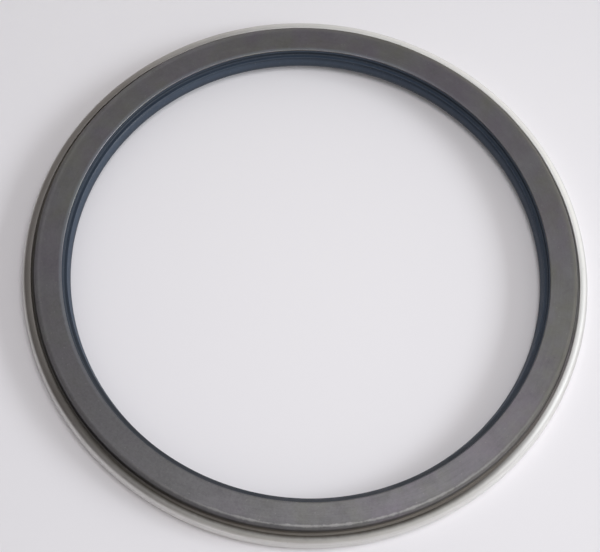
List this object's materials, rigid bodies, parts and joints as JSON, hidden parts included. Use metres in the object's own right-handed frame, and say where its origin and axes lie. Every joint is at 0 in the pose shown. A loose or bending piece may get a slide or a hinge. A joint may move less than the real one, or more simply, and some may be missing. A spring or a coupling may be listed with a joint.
{
  "type": "radial shaft seal",
  "caption": "Large round rotary shaft seal lying flat: stepped steel case with a flat cover face and a rolled rim, and a blue rubber sealing lip with dust lip and garter spring in its bore.",
  "frame": {"origin": "on the seal's axis, in the plane of the oil-side web that it rests on", "axes": "+Z along the seal's axis towards the air side, where the flat cover face is; X and Y may point anywhere, because the seal is round"},
  "size_m": [0.31, 0.31, 0.016],
  "materials": {
    "cover_steel": "dark phosphated sheet steel with fine turned marks",
    "case_steel": "bare ground steel, lightly oiled",
    "seal_rubber": "blue moulded nitrile rubber, satin",
    "spring_steel": "bright drawn spring wire"
  },
  "bodies": {
    "root": {"cover_ring": "cover_steel", "outer_case": "case_steel", "sealing_element": "seal_rubber", "garter_spring": "spring_steel"}
  },
  "joints": []
}
